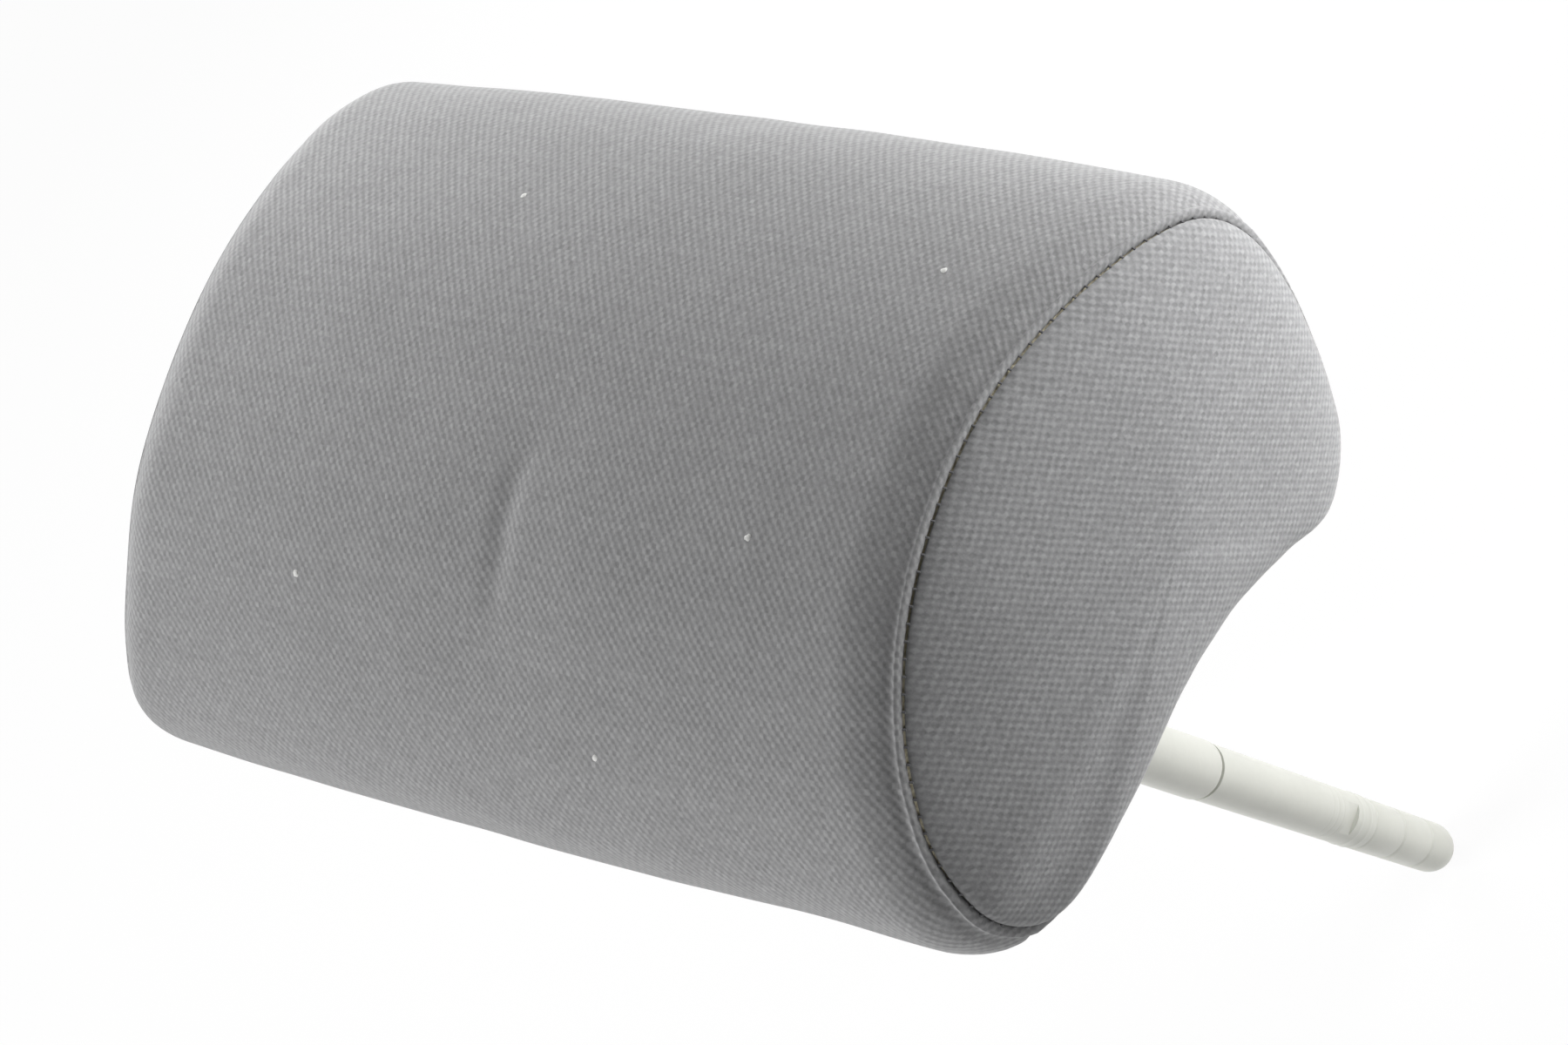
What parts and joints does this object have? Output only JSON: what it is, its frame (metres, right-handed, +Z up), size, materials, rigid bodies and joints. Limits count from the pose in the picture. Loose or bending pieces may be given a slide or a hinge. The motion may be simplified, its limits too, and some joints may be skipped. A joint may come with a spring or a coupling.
{
  "type": "car headrest",
  "caption": "Rear seat headrest: sewn fabric pad with a front lip that hangs over the seat back, on two straight latch posts.",
  "frame": {"origin": "midway between the two post axes, in the plane of the bezel faces that land on the seat's guides when the headrest is pushed right down", "axes": "+Z up along the posts, -Y towards the front of the car and the occupant's head, X across the seat"},
  "size_m": [0.2678, 0.1632, 0.281],
  "materials": {
    "main_cloth": "mid grey flat woven seat cloth, small diagonal pattern",
    "side_cloth": "the same cloth with its grain turned",
    "pad_foam": "moulded polyurethane foam",
    "strip_plastic": "extruded black strip",
    "carrier_plastic": "black moulded polypropylene",
    "screw_steel": "zinc plated",
    "bar_steel": "drawn round bar",
    "bezel_plastic": "fine grained light grey moulding",
    "post_plastic": "satin light grey moulding over steel"
  },
  "bodies": {
    "root": {"foam_pad": "pad_foam", "cover_main_panel": "main_cloth", "cover_side_left": "side_cloth", "cover_side_right": "side_cloth", "cover_underside_flap": "main_cloth", "closing_strip_front": "strip_plastic", "closing_strip_rear": "strip_plastic", "carrier_front_half": "carrier_plastic", "carrier_rear_half": "carrier_plastic", "carrier_screw_lower_left": "screw_steel", "carrier_screw_upper_left": "screw_steel", "carrier_screw_lower_right": "screw_steel", "carrier_screw_upper_right": "screw_steel", "steel_bar": "bar_steel", "post_bezel_left": "bezel_plastic", "post_bezel_right": "bezel_plastic", "post_sleeve_left": "post_plastic", "post_sleeve_right": "post_plastic", "post_end_left": "post_plastic", "post_end_right": "post_plastic"}
  },
  "joints": []
}
